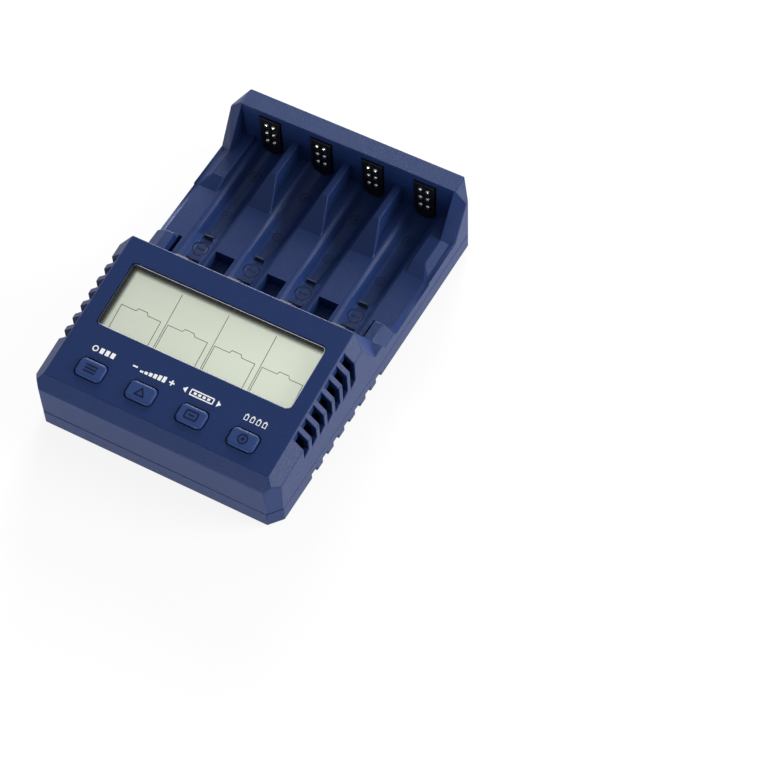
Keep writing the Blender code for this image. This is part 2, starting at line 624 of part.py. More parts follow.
def bottom_case():
    """Lower tray with screw bosses, board posts, foot recesses and side notches."""
    item = to_object("bottom_case", prism_z(plan_outline(), z(0), z(PART_HEIGHT - GAP)),
                     paint("bottom_case_blue", BLUE, 0.5))
    cut(item, [prism_z(plan_outline(CASE_WALL), z(FLOOR), z(PART_HEIGHT + 2 * MM))])
    for x, along in SCREW_PLACES:
        place = (x, y(along))
        add(item, [prism_z(disc(BOSS_RADIUS, 20, place), z(FLOOR / 2), z(DECK_BOTTOM - GAP))])
        cut(item, [prism_z(disc(SCREW_HEAD + GAP, 16, place), z(-FLOOR), z(SCREW_HEAD_DEPTH)),
                   prism_z(disc(SCREW_RADIUS + GAP, 12, place), z(FLOOR), z(DECK_BOTTOM + FLOOR))])
    near, far = BOARD_REACH
    for x in (POST_INSET - BOARD_HALF, BOARD_HALF - POST_INSET):
        for along in (near + POST_INSET, (near + far) / 2, far - POST_INSET):
            add(item, [prism_z(disc(POST_RADIUS, 10, (x, y(along))), z(FLOOR / 2),
                               z(BOARD_TOP - BOARD_THICKNESS - GAP))])
    for place in foot_places():
        cut(item, [prism_z(disc(FOOT_RADIUS + GAP, 24, place), z(-FLOOR), z(FOOT_DEPTH))])
    slot = rounded(*FLOOR_SLOT, FLOOR_SLOT[0] / 2 - GAP / 2, 2)
    for i in range(6):
        x = (i - 2.5) * FLOOR_SLOT_PITCH
        cut(item, [prism_z([(a + x, b + y(WINDOW_CENTRE)) for a, b in slot], z(-FLOOR), z(2 * FLOOR))])
    width, depth, height = NOTCH
    pitch = (DISPLAY_FOOT - VENT_START - width) / NOTCH_COUNT
    for side in (-1, 1):
        edge = side * WIDTH / 2
        inner, outer = edge - side * depth, edge + side * depth
        for i in range(NOTCH_COUNT):
            near = y(VENT_START + width + i * pitch)
            cut(item, [prism_y([(outer, z(-FLOOR)), (inner, z(-FLOOR)), (inner, z(height)),
                                (outer, z(height + 2 * depth))],
                               near, near + width)])
    half = INLET_OPENING[0] / 2
    cut(item, [block(-half, half, y(LENGTH - 2 * CASE_WALL), y(LENGTH + CASE_WALL), z(BOARD_TOP),
                     z(PART_HEIGHT + FLOOR))])
    return item


def foot_places():
    return [(side * (WIDTH / 2 - FOOT_INSET), y(along))
            for side in (-1, 1) for along in (FOOT_FRONT, LENGTH - FOOT_REAR)]


def feet():
    rubber = paint("foot_rubber", BLACK, 0.8)
    for number, place in enumerate(foot_places(), 1):
        to_object(f"foot_{number}", prism_z(disc(FOOT_RADIUS, 24, place), 0, z(FOOT_DEPTH - GAP)), rubber)


def screws():
    steel = paint("screw_steel", (0.30, 0.30, 0.31), 0.35, 1.0)
    for number, (x, along) in enumerate(SCREW_PLACES, 1):
        head = SCREW_HEAD_DEPTH - FLOOR + GAP
        item = to_object(f"screw_{number}", prism_z(disc(SCREW_HEAD, 16), -head, 0), steel)
        add(item, [prism_z(disc(SCREW_RADIUS, 12), -head / 2, SCREW_LENGTH)])
        half = SCREW_SLOT / 2
        cut(item, [block(-SCREW_HEAD + GAP, SCREW_HEAD - GAP, -half, half, -2 * head, SCREW_SLOT - head)])
        item.location = (x, y(along), z(SCREW_HEAD_DEPTH - GAP))


def window_and_display():
    """Clear window, display glass, light guide, holding frame and the board under them."""
    width, depth = WINDOW_SIZE
    seat = CASE_WALL + GAP
    lens = to_object("window_lens", prism_z(rounded(width - 2 * GAP, depth - 2 * GAP, WINDOW_CORNER - GAP),
                                            -seat - LENS_FLANGE / 2, -WINDOW_RECESS),
                     paint("lens_clear", (0.9, 0.93, 0.9), 0.05, 0.0, 0.3))
    grip = 2 * LENS_GRIP
    add(lens, [prism_z(rounded(width + grip, depth + grip, WINDOW_CORNER), -seat - LENS_FLANGE, -seat)])
    on_top(lens, 0, WINDOW_CENTRE)
    glass_top = seat + LENS_FLANGE + GAP
    corner = WINDOW_CORNER / 4
    grip = LENS_GRIP
    glass = to_object("lcd_glass", prism_z(rounded(width + grip, depth + grip, corner, 1),
                                           -glass_top - GLASS_THICKNESS, -glass_top),
                      paint("lcd_grey", (0.62, 0.66, 0.55), 0.25))
    on_top(glass, 0, WINDOW_CENTRE)
    light_top = glass_top + GLASS_THICKNESS + GAP
    light = to_object("backlight", prism_z(rounded(width + grip - GAP, depth + grip - GAP, corner, 1),
                                           -light_top - LIGHT_THICKNESS + 2 * GAP, -light_top),
                      paint("backlight_white", (0.85, 0.87, 0.84), 0.4))
    on_top(light, 0, WINDOW_CENTRE)
    inside = grip + 2 * GAP
    outside = inside + 2 * FRAME_WALL
    ring = to_object("lcd_frame", prism_z(rounded(width + outside, depth + outside, FRAME_WALL, 2),
                                          -BOARD_DEPTH + GAP, -glass_top),
                     paint("frame_white", (0.75, 0.75, 0.73), 0.5))
    cut(ring, [prism_z(rounded(width + inside, depth + inside, corner, 1), -BOARD_DEPTH, 0)])
    on_top(ring, 0, WINDOW_CENTRE)
    near, far = BOARD_FRONT, DISPLAY_LENGTH - BOARD_REAR
    middle = (near + far) / 2
    board = to_object("display_board", prism_z(rounded(2 * BOARD_HALF, far - near, corner, 2),
                                               -BOARD_DEPTH - BOARD_THICKNESS, -BOARD_DEPTH),
                      paint("display_board_green", (0.02, 0.16, 0.07), 0.45))
    on_top(board, 0, middle)


def buttons():
    """Push buttons with the stems they press and the switches on the display board."""
    cap_paint = paint("button_blue", BLUE, 0.42)
    stem_paint = paint("stem_black", BLACK, 0.5)
    switch_paint = paint("switch_steel", (0.55, 0.55, 0.56), 0.3, 1.0)
    width, depth = BUTTON_SIZE
    flange_top = CASE_WALL + GAP
    spread, thick = BUTTON_FLANGE
    stem_top = flange_top + thick + GAP
    side, tall = SWITCH_SIZE
    switch_top = BOARD_DEPTH - tall
    sunk = tall / 5
    for index in range(BUTTON_COUNT):
        x = (index - (BUTTON_COUNT - 1) / 2) * BUTTON_PITCH
        outer = rounded(width, depth, BUTTON_CORNER, 3)
        inner = rounded(width - 2 * BUTTON_BEVEL, depth - 2 * BUTTON_BEVEL, BUTTON_CORNER - BUTTON_BEVEL, 3)
        cap = to_object(f"button_{index + 1}", loft([[(a, b, -flange_top - thick / 2) for a, b in outer],
                                                    [(a, b, BUTTON_RISE - BUTTON_BEVEL) for a, b in outer],
                                                    [(a, b, BUTTON_RISE) for a, b in inner]]), cap_paint)
        add(cap, [prism_z(rounded(width + 2 * spread, depth + 2 * spread, BUTTON_CORNER, 2),
                          -flange_top - thick, -flange_top)])
        on_top(cap, x, BUTTON_CENTRE)
        stem = to_object(f"switch_stem_{index + 1}",
                         prism_z(disc(STEM_RADIUS, 12), -switch_top - sunk, -stem_top), stem_paint)
        on_top(stem, x, BUTTON_CENTRE)
        switch = to_object(f"switch_{index + 1}", prism_z(rounded(side, side, STEM_RADIUS / 4, 1),
                                                          -BOARD_DEPTH + GAP, -switch_top), switch_paint)
        cut(switch, [prism_z(disc(STEM_RADIUS + GAP, 12), -switch_top - sunk - GAP - BUTTON_TRAVEL, 0)])
        on_top(switch, x, BUTTON_CENTRE)


def dome(radius, height, sides=8):
    """Contact dome pointing to -Y from y = 0."""
    rings = [[(radius * math.cos(2 * math.pi * i / sides), 0,
               radius * math.sin(2 * math.pi * i / sides)) for i in range(sides)]]
    crown = height / 6
    for reach, scale in ((height - 2 * crown, 1.0), (height - crown / 2, 0.75), (height, 0.4)):
        rings.append([(a * scale, -reach, b * scale) for a, _, b in rings[0]])
    return loft(rings)


def positive_contacts():
    """Nickel plate with six domes in a black insert, one pair for each bay."""
    nickel = paint("contact_nickel", NICKEL, 0.25, 1.0)
    black = paint("insert_black", BLACK, 0.45)
    plate_y = WALL_FACE + PLATE_SET
    insert_front = WALL_FACE - INSERT_STAND
    rows = [DOME_LOWEST + i * DOME_PITCH[1] for i in range(3)]
    half = DOME_PITCH[0] / 2 + PLATE_MARGIN[0]
    for index in range(BAY_COUNT):
        x = bay_x(index)
        insert = to_object(f"contact_insert_{index + 1}",
                           prism_y([(x + a, z(b)) for a, b in contact_outline(0, AAA_FLOOR)],
                                   y(insert_front), y(plate_y - GAP)), black)
        plate = to_object(f"contact_plus_{index + 1}",
                          block(x - half, x + half, y(plate_y), y(plate_y + STRIP),
                                z(rows[0] - PLATE_MARGIN[1]), z(rows[2] + PLATE_MARGIN[1])), nickel)
        add(plate, [block(x - PLATE_TAIL / 2, x + PLATE_TAIL / 2, y(plate_y), y(plate_y + STRIP),
                          z(BOARD_TOP + GAP), z(rows[0]))])
        for side in (-0.5, 0.5):
            for row in rows:
                cx = x + side * DOME_PITCH[0]
                hole = prism_y(disc(DOME_RADIUS + GAP, 10, (cx, z(row))), y(insert_front - GAP), y(plate_y))
                cut(insert, [hole])
                root = plate_y + STRIP / 4
                knob = dome(DOME_RADIUS, root - DOME_TIP)
                knob.transform(Matrix.Translation((cx, y(root), z(row))))
                add(plate, [knob])


def strip_solid(path, x, half):
    """Bent strip of constant thickness: a path of (y, z) points offset to one side and extruded."""
    points = [Vector(p) for p in path]
    offset = []
    for i, p in enumerate(points):
        before = (p - points[i - 1]).normalized() if i else (points[1] - p).normalized()
        after = (points[i + 1] - p).normalized() if i + 1 < len(points) else before
        normal = Vector((-(before + after).y, (before + after).x)).normalized()
        stretch = STRIP / max(0.5, normal.dot(Vector((-before.y, before.x))))
        offset.append(p + normal * stretch)
    return prism_x([tuple(p) for p in points] + [tuple(p) for p in reversed(offset)], x - half, x + half)


def negative_contacts():
    """Leaf springs: one on the rear face of the display block, one at the end of the AAA channel."""
    nickel = paint("spring_nickel", NICKEL, 0.28, 1.0)
    low = z(BOARD_TOP + GAP)
    width, proud = AA_LEAF
    for index in range(BAY_COUNT):
        x = bay_x(index)
        place = y(AAA_STOP - LEAF_SLOT / 2 + STRIP / 2)
        path = [(place, low), (place, z(AAA_FLOOR - GAP)), (place + proud, z(AA_FLOOR + GAP)),
                (place + proud, z(AA_FLOOR + 4 * GAP))]
        to_object(f"contact_aaa_{index + 1}", strip_solid(path, x, AAA_LEAF / 2), nickel)
        heights = [AA_AXIS + AA_RADIUS * part for part in (-0.77, -0.3, 0.1, 0.5)]
        bow = [-LEAF_SLOT / 3, proud, proud, -LEAF_SLOT / 3]
        down = slant_y(AA_FLOOR) - 2 * STRIP
        path = [(down, low), (down, z(AA_FLOOR - GAP))]
        path += [(slant_y(h) + b, z(h)) for h, b in zip(heights, bow)]
        to_object(f"contact_aa_{index + 1}", strip_solid(path, x, width / 2), nickel)


def boards():
    """Main board with its parts and the ribbon that links it to the display board."""
    top = z(BOARD_TOP)
    seat = top + GAP
    near, far = BOARD_REACH
    to_object("main_board", block(-BOARD_HALF, BOARD_HALF, y(near), y(far), top - BOARD_THICKNESS, top),
              paint("main_board_green", (0.02, 0.16, 0.07), 0.45))
    wide, deep, tall = INLET
    mouth, root = y(LENGTH - INLET_SET), y(LENGTH - INLET_SET - deep)
    axis = seat + tall / 2
    shell = [(a, b + axis) for a, b in rounded(wide, tall, INLET_WALL, 2)]
    socket = to_object("inlet_socket", prism_y(shell, root, mouth),
                       paint("socket_steel", (0.58, 0.58, 0.58), 0.3, 1.0))
    half, thick = INLET_TONGUE[0] / 2, INLET_TONGUE[1] / 2
    hollow = wide / 2 - INLET_WALL
    deepest = root + 2 * INLET_WALL
    cut(socket, [block(-hollow, hollow, mouth - INLET_WALL, mouth + deep, seat + INLET_WALL,
                       seat + tall - INLET_WALL),
                 block(-hollow, hollow, deepest, mouth, axis + thick, seat + tall - INLET_WALL),
                 block(-hollow, hollow, deepest, mouth, seat + INLET_WALL, axis - thick)])
    for side in (-1, 1):
        cut(socket, [block(min(side * half, side * hollow), max(side * half, side * hollow), deepest, mouth,
                           axis - 2 * thick, axis + 2 * thick)])
    middle = (WINDOW_FRONT + DISPLAY_LENGTH) / 2
    half, tall = CHIP[0] / 2, CHIP[1]
    to_object("controller_chip", block(-half, half, y(middle - half), y(middle + half), seat, seat + tall),
              paint("chip_black", BLACK, 0.5))
    coil = paint("inductor_grey", (0.08, 0.08, 0.085), 0.6)
    side, tall = COIL
    for index in range(BAY_COUNT):
        place = (bay_x(index), y(DISPLAY_LENGTH - side))
        to_object(f"inductor_{index + 1}",
                  prism_z([(a + place[0], b + place[1]) for a, b in rounded(side, side, side / 5, 1)],
                          seat, seat + tall), coil)
    can = paint("capacitor_metal", (0.62, 0.62, 0.63), 0.3, 0.9)
    radius, tall = CAPACITOR
    for index, x in enumerate((-BAY_PITCH, BAY_PITCH), 1):
        to_object(f"capacitor_{index}", prism_z(disc(radius, 16, (x, y(middle))), seat, seat + tall), can)
    radius, tall = BEEPER
    to_object("beeper", prism_z(disc(radius, 20, (2 * radius - BOARD_HALF, y(WINDOW_FRONT))), seat, seat + tall),
              paint("beeper_black", BLACK, 0.4))

    # ribbon between two plug strips
    under = Vector((0, y(PLUG_FRONT), top_z(PLUG_FRONT))) - TOP_NORMAL * (BOARD_DEPTH + BOARD_THICKNESS + GAP)
    strip_paint = paint("plug_white", (0.72, 0.70, 0.64), 0.5)
    wide, deep, tall = PLUG
    outline = rounded(wide, deep, GAP, 1)
    upper = to_object("ribbon_plug_upper", prism_z(outline, -tall, 0), strip_paint)
    upper.matrix_world = Matrix.Translation(under) @ Matrix.Rotation(TOP_ANGLE, 4, "X")
    lower = to_object("ribbon_plug_lower", prism_z(outline, 0, tall), strip_paint)
    lower.location = (0, under.y, seat)
    half, thick = RIBBON[0] / 2, RIBBON[1] / 2
    centre = under.y + math.sin(TOP_ANGLE) * tall
    to_object("ribbon", block(-half, half, centre - thick, centre + thick, seat + tall + GAP,
                              under.z - tall - GAP - thick),
              paint("ribbon_grey", (0.5, 0.5, 0.52), 0.5))


def build():
    clear_scene()
    top_case()
    bottom_case()
    feet()
    screws()
    window_and_display()
    buttons()
    positive_contacts()
    negative_contacts()
    boards()


build()
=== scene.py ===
"""Studio picture of a desktop charger for AA and AAA cells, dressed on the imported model.

Distances are in metres. A place along the case counts from its front face and a place across it
from its middle. The display block's top is a plane that falls towards the front.
"""

import math

import bmesh
import bpy
from mathutils import Matrix, Vector


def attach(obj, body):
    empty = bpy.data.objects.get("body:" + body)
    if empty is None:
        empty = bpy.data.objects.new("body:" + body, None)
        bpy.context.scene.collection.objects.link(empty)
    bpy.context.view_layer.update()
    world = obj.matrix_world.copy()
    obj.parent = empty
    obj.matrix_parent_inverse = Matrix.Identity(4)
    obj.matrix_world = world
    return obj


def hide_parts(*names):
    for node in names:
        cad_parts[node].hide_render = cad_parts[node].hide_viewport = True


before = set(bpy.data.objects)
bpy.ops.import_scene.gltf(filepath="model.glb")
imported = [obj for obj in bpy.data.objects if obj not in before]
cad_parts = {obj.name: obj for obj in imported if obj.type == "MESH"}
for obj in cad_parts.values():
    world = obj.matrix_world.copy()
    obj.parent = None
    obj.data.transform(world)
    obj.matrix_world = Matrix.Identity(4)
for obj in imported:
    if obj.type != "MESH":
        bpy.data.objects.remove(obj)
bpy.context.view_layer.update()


# ---- Camera
# It stands where the photograph was taken from: above, in front and to the right, a little
# rolled. The long lens keeps the case's edges nearly parallel.

MM = 0.001
AZIMUTH, ELEVATION, ROLL = math.radians(31.202), math.radians(55.722), math.radians(2.638)
CAMERA_SPOT = Vector((321.06, -442.52, 753.29)) * MM
SENSOR_WIDTH = 36.0
FOCAL_PIXELS, PICTURE_PIXELS = 2570.1, 781.0

scene = bpy.context.scene
back = Vector((math.sin(AZIMUTH) * math.cos(ELEVATION), -math.cos(AZIMUTH) * math.cos(ELEVATION),
               math.sin(ELEVATION)))
across = (-back).cross(Vector((0, 0, 1))).normalized()
down = (-back).cross(across)
camera = bpy.data.objects.new("camera", bpy.data.cameras.new("camera"))
scene.collection.objects.link(camera)
scene.camera = camera
stand = Matrix((across * math.cos(ROLL) + down * math.sin(ROLL),
                across * math.sin(ROLL) - down * math.cos(ROLL), back)).transposed().to_4x4()
stand.translation = CAMERA_SPOT
camera.matrix_world = stand
camera.data.sensor_width = SENSOR_WIDTH
camera.data.lens = FOCAL_PIXELS * SENSOR_WIDTH / PICTURE_PIXELS


# ---- Floor and light
# A plain white floor that keeps a faint shadow. One soft box stands low behind the case, a larger
# one at its right grazes the chamfers, and a small weak one stands low in front.

class Signal:
    """A number in a material; plain operators on it add the nodes."""

    def __init__(self, finish, socket):
        self.finish, self.socket = finish, socket

    def math(self, operation, *values):
        return self.finish.node("ShaderNodeMath", {"operation": operation}, dict(enumerate(values)))

    def __add__(self, other):
        return self.math("ADD", self, other)

    def __rsub__(self, other):
        return self.math("SUBTRACT", other, self)

    def __mul__(self, other):
        return self.math("MULTIPLY", self, other)

    def step(self, low, high):
        """0 below low, 1 above high, and a smooth rise between."""
        return self.finish.node("ShaderNodeMapRange", {"interpolation_type": "SMOOTHSTEP"},
                                {"Value": self, "From Min": low, "From Max": high})


class Finish:
    """A material for one kind of surface: a Principled shader that varies in object space."""

    def __init__(self, name, colour, roughness, metallic=0.0, alpha=1.0, specular=0.5):
        self.material = bpy.data.materials.new(name)
        self.material.use_nodes = True
        self.tree = self.material.node_tree
        self.shader = self.tree.nodes["Principled BSDF"]
        for key, value in (("Base Color", (*colour, 1.0)), ("Roughness", roughness),
                           ("Metallic", metallic), ("Alpha", alpha), ("Specular IOR Level", specular)):
            self.shader.inputs[key].default_value = value

    def node(self, kind, settings, values, output=0):
        """Adds a node with its settings and its values or links, and gives one of its outputs."""
        node = self.tree.nodes.new(kind)
        for key, value in settings.items():
            setattr(node, key, value)
        for key, value in values.items():
            if isinstance(value, Signal):
                self.tree.links.new(value.socket, node.inputs[key])
            else:
                node.inputs[key].default_value = value
        return Signal(self, node.outputs[output])

    def place(self, stretch=(1.0, 1.0, 1.0)):
        """The point in object space."""
        spot = self.node("ShaderNodeTexCoord", {}, {}, "Object")
        return self.node("ShaderNodeMapping", {}, {"Vector": spot, "Scale": stretch})

    def axis(self, name):
        """The point's distance along an axis."""
        return self.node("ShaderNodeSeparateXYZ", {}, {0: self.place()}, name)

    def noise(self, size, detail=2.0, stretch=(1.0, 1.0, 1.0)):
        """Noise whose features are about that size."""
        return self.node("ShaderNodeTexNoise", {},
                         {"Vector": self.place(stretch), "Scale": 1.0 / size, "Detail": detail})

    def pits(self, size):
        """Round pits about that far apart."""
        return self.node("ShaderNodeTexVoronoi", {}, {"Vector": self.place(), "Scale": 1.0 / size})

    def tint(self, signal, low, high, key="Base Color"):
        """Varies a colour of the shader between two colours."""
        colour = self.node("ShaderNodeMix", {"data_type": "RGBA"},
                           {0: signal, 6: (*low, 1.0), 7: (*high, 1.0)}, 2)
        self.tree.links.new(colour.socket, self.shader.inputs[key])

    def rough(self, signal, low, high):
        """Varies the roughness between two values."""
        self.tree.links.new((signal * (high - low) + low).socket, self.shader.inputs["Roughness"])

    def bump(self, signal, depth, strength=1.0):
        """Raises a fine relief of that depth."""
        normal = self.node("ShaderNodeBump", {}, {"Height": signal, "Distance": depth, "Strength": strength})
        self.tree.links.new(normal.socket, self.shader.inputs["Normal"])


FLOOR_HALF = 4.0
PAPER_GLOW, SKY_GLOW = 0.86, 0.46
WHITE = (1.0, 1.0, 1.0, 1.0)
LAMPS = {"rear": {"spot": (-0.38, 1.05, 0.33), "size": 0.5, "watts": 23.0},
         "side": {"spot": (0.98, 0.38, 0.42), "size": 0.62, "watts": 13.5},
         "front": {"spot": (-0.10, -1.20, 0.10), "size": 0.35, "watts": 8.5}}

bm = bmesh.new()
bmesh.ops.create_grid(bm, x_segments=1, y_segments=1, size=FLOOR_HALF)
floor = bpy.data.objects.new("floor", bpy.data.meshes.new("floor"))
bm.to_mesh(floor.data)
bm.free()
scene.collection.objects.link(floor)
paper = Finish("paper_white", (0.93, 0.93, 0.93), 0.9)
camera_ray, glossy_ray, glass_ray = [paper.node("ShaderNodeLightPath", {}, {}, f"Is {kind} Ray")
                                     for kind in ("Camera", "Glossy", "Transmission")]
seen = camera_ray + glossy_ray + glass_ray
glow = paper.node("ShaderNodeEmission", {}, {"Color": WHITE, "Strength": 1.0})
mixed = paper.node("ShaderNodeMixShader", {}, {0: seen.math("MINIMUM", seen, 1.0) * PAPER_GLOW,
                                               1: Signal(paper, paper.shader.outputs[0]), 2: glow})
paper.tree.links.new(mixed.socket, paper.tree.nodes["Material Output"].inputs["Surface"])
floor.data.materials.append(paper.material)

scene.world = bpy.data.worlds.new("studio")
scene.world.use_nodes = True
sky = scene.world.node_tree.nodes["Background"]
sky.inputs["Color"].default_value = WHITE
sky.inputs["Strength"].default_value = SKY_GLOW
scene.view_settings.view_transform = "Standard"
for name, facts in LAMPS.items():
    lamp = bpy.data.objects.new(name, bpy.data.lights.new(name, "AREA"))
    lamp.data.shape = "SQUARE"
    lamp.data.size = facts["size"]
    lamp.data.energy = facts["watts"]
    lamp.location = facts["spot"]
    lamp.rotation_mode = "QUATERNION"
    lamp.rotation_quaternion = Vector(facts["spot"]).to_track_quat("Z", "Y")
    scene.collection.objects.link(lamp)


# ---- Lower case
# The tray under the seam, moulded in blue plastic with a fine spark-eroded grain. Its outer
# edges are rounded as a mould leaves them.

CHARGER = "charger"
EDGE = 0.28 * MM
CURVED = 2.4 * MM
WELD, SLIVER = 2e-6, 2e-5
FLAT_ANGLE, SHARP_ANGLE = math.radians(0.5), math.radians(50)


def softened(node, radius, angle=26.0, shortest=2.0 * MM):
    """A node's solid as clean faces, with its longer outer edges rounded."""
    bm = bmesh.new()
    bm.from_mesh(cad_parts[node].data)
    bmesh.ops.remove_doubles(bm, verts=bm.verts, dist=WELD)
    bmesh.ops.dissolve_limit(bm, angle_limit=FLAT_ANGLE, verts=bm.verts, edges=bm.edges)
    bmesh.ops.dissolve_degenerate(bm, edges=bm.edges, dist=SLIVER)
    edges = [e for e in bm.edges if e.is_convex and e.calc_face_angle() > math.radians(angle)
             and e.calc_length() > shortest]
    bmesh.ops.bevel(bm, geom=edges, offset=radius, offset_type="OFFSET", segments=2, profile=0.5,
                    affect="EDGES", clamp_overlap=False, material=-1)
    return bm


def piece(name, bm, finish, body, curved=0.0, replaces=None):
    """Finishes a mesh as a piece that rides on a body; faces narrower than curved shade smooth."""
    round_faces = [face.calc_area() < curved * max(edge.calc_length() for edge in face.edges)
                   for face in bm.faces]
    mesh = bpy.data.meshes.new(name)
    bm.to_mesh(mesh)
    bm.free()
    mesh.materials.append(finish.material)
    item = bpy.data.objects.new(name, mesh)
    scene.collection.objects.link(item)
    mesh.set_sharp_from_angle(angle=SHARP_ANGLE)
    mesh.polygons.foreach_set("use_smooth", round_faces)
    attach(item, body)
    if replaces:
        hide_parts(replaces)
    return item


def moulded(name, dark, light, grain, specular=0.18):
    """Blue plastic between two shades, with a matt grain of that depth."""
    finish = Finish(name, light, 0.39, specular=specular)
    finish.tint(finish.noise(8 * MM, 3.0), dark, light)
    finish.rough(finish.noise(2.0 * MM), 0.35, 0.43)
    finish.bump(finish.noise(0.35 * MM, 3.0) + finish.pits(0.5 * MM) * 0.5, grain, 0.9)
    return finish


case_blue = moulded("case_blue", (0.0105, 0.0258, 0.098), (0.0125, 0.0308, 0.114), 0.07 * MM)
piece("base_shell", softened("bottom_case", EDGE), case_blue, CHARGER, CURVED, "bottom_case")


# ---- Boards
# The main board with its chips, coils and capacitors, the display board above it, and the ribbon
# between them. They show only through the vents.

WIRE_PITCH = 1.27 * MM


def dress(finish, *nodes):
    """Gives a finish to CAD nodes whose shape stays."""
    for name in nodes:
        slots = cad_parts[name].data.materials
        slots.clear()
        slots.append(finish.material)


def each(name, count=4):
    """The names of a row of CAD nodes."""
    return [f"{name}_{i}" for i in range(1, count + 1)]


board = Finish("board_green", (0.02, 0.12, 0.06), 0.4)
board.tint(board.noise(0.9 * MM, 1.0).step(0.5, 0.56), (0.016, 0.10, 0.05), (0.03, 0.17, 0.085))
dress(board, "main_board", "display_board")
chip = Finish("chip_black", (0.02, 0.02, 0.02), 0.5)
chip.tint(chip.noise(0.5 * MM), (0.016, 0.016, 0.016), (0.028, 0.028, 0.028))
dress(chip, "controller_chip", "beeper")
coil = Finish("coil_grey", (0.08, 0.08, 0.085), 0.6)
coil.tint(coil.noise(0.7 * MM), (0.065, 0.065, 0.07), (0.1, 0.1, 0.105))
dress(coil, *each("inductor"))
can = Finish("can_metal", (0.62, 0.62, 0.63), 0.3, metallic=0.9)
can.rough(can.noise(0.8 * MM, stretch=(1, 1, 8)), 0.22, 0.42)
dress(can, *each("capacitor", 2))
ribbon = Finish("ribbon_grey", (0.5, 0.5, 0.52), 0.5)
wires = ribbon.axis("X") * (1 / WIRE_PITCH)
ribbon.tint(wires.math("PINGPONG", wires, 0.5).step(0.05, 0.3), (0.3, 0.3, 0.32), (0.56, 0.56, 0.58))
dress(ribbon, "ribbon")
plug = Finish("plug_white", (0.72, 0.70, 0.64), 0.5)
plug.tint(plug.noise(1.5 * MM), (0.68, 0.66, 0.60), (0.75, 0.73, 0.67))
dress(plug, "ribbon_plug_upper", "ribbon_plug_lower")
socket = Finish("socket_steel", (0.58, 0.58, 0.58), 0.3, metallic=1.0)
socket.rough(socket.noise(0.5 * MM), 0.2, 0.42)
dress(socket, "inlet_socket")


# ---- Upper case
# One moulded shell: the display block, the troughs, the ridges between them and the rear wall.
# It has the tray's plastic and grain; the walls of the vent slots get a darker, duller copy of it as painted
# shade.

SLOTS_OUTSIDE, SLOTS_ABOVE = 39.0 * MM, 8.0 * MM
SLOTS_FRONT, SLOTS_REAR = -62.0 * MM, -8.0 * MM
SMALLEST_WALL = 1.0 * MM ** 2
ALONG_CASE = 0.5

shell = piece("top_shell", softened("top_case", EDGE), case_blue, CHARGER, CURVED, "top_case")
# Painted shade: the vent slots' walls take a darker, duller copy of the case plastic.
slot_painted_shade = moulded("slot_painted_shade", (0.005, 0.013, 0.058), (0.006, 0.015, 0.066), 0.03 * MM, specular=0.04)
shell.data.materials.append(slot_painted_shade.material)
for face in shell.data.polygons:
    x, y, z = face.center
    in_slot = abs(x) > SLOTS_OUTSIDE and SLOTS_FRONT < y < SLOTS_REAR and z > SLOTS_ABOVE
    if in_slot and abs(face.normal.y) > ALONG_CASE and face.area > SMALLEST_WALL:
        face.material_index = 1


# ---- Display
# A pale reflective glass in a white frame over a light guide; its glow, brighter towards the right, is
# painted light. A black mask closes its border, and grey outlines of four cells are etched in it; the mask's
# inner edge fades as a painted shadow, wider at the left and the rear.

HALF_DEPTH = 72.5 * MM
TOP_SLOPE, TOP_HEIGHT, TOP_REAR = 0.162, 35.4 * MM, 63.8 * MM
TOP_TILT = math.atan(TOP_SLOPE)
WINDOW = (79.0 * MM, 26.8 * MM)
WINDOW_CENTRE = 42.0 * MM
GLASS_DEPTH = 3.6 * MM
ON_GLASS = 0.01 * MM - GLASS_DEPTH
LINE, FILM = 0.22 * MM, 0.03 * MM
COLUMN_PITCH, COLUMN_SHIFT = 19.1 * MM, 0.65 * MM
DIVIDER = (LINE, 23.0 * MM, -8.7 * MM, -0.9 * MM)
LEAN = Matrix(((1, -0.055, 0, 0), (0, 1, 0, 0), (0, 0, 1, 0), (0, 0, 0, 1)))
MASK_BLACK = (0.006, 0.007, 0.009)
MASK_SIZE = (WINDOW[0] + 4.0 * MM, WINDOW[1] + 4.2 * MM)
MASK_CORNER, MASK_WIDTH, MASK_SHIFT = 4.8 * MM, 4.5 * MM, 0.3 * MM
FADE_LEFT, FADE_RIGHT = (-39.7 * MM, -36.9 * MM), (38.0 * MM, 39.4 * MM)
FADE_FRONT, FADE_REAR = (-43.6 * MM, -42.1 * MM), (-19.5 * MM, -16.6 * MM)


def on_top(across, along, rise=0.0):
    """Matrix from a sign's own plane to the display block's sloping top."""
    foot = Vector((across, along - HALF_DEPTH, TOP_HEIGHT - TOP_SLOPE * (TOP_REAR - along)))
    turn = Matrix.Rotation(TOP_TILT, 4, "X")
    return Matrix.Translation(foot + turn @ Vector((0, 0, rise))) @ turn


def raise_faces(bm, faces, thickness):
    """Gives flat faces a thickness, upwards."""
    moved = bmesh.ops.extrude_face_region(bm, geom=faces)["geom"]
    upper = [v for v in moved if isinstance(v, bmesh.types.BMVert)]
    bmesh.ops.translate(bm, verts=upper, vec=(0, 0, thickness))


def plate(outline, thickness):
    """A flat shape of that thickness, standing on its own plane."""
    bm = bmesh.new()
    face = bm.faces.new([bm.verts.new((u, v, 0)) for u, v in outline])
    raise_faces(bm, [face], thickness)
    return bm


def hoop(outline, width, thickness):
    """A closed line of that width inside an outline."""
    bm = bmesh.new()
    face = bm.faces.new([bm.verts.new((u, v, 0)) for u, v in outline])
    bm.normal_update()
    rim = bmesh.ops.inset_region(bm, faces=[face], thickness=width, use_even_offset=True,
                                 use_boundary=True)["faces"]
    bmesh.ops.delete(bm, geom=[face], context="FACES_ONLY")
    raise_faces(bm, rim, thickness)
    return bm


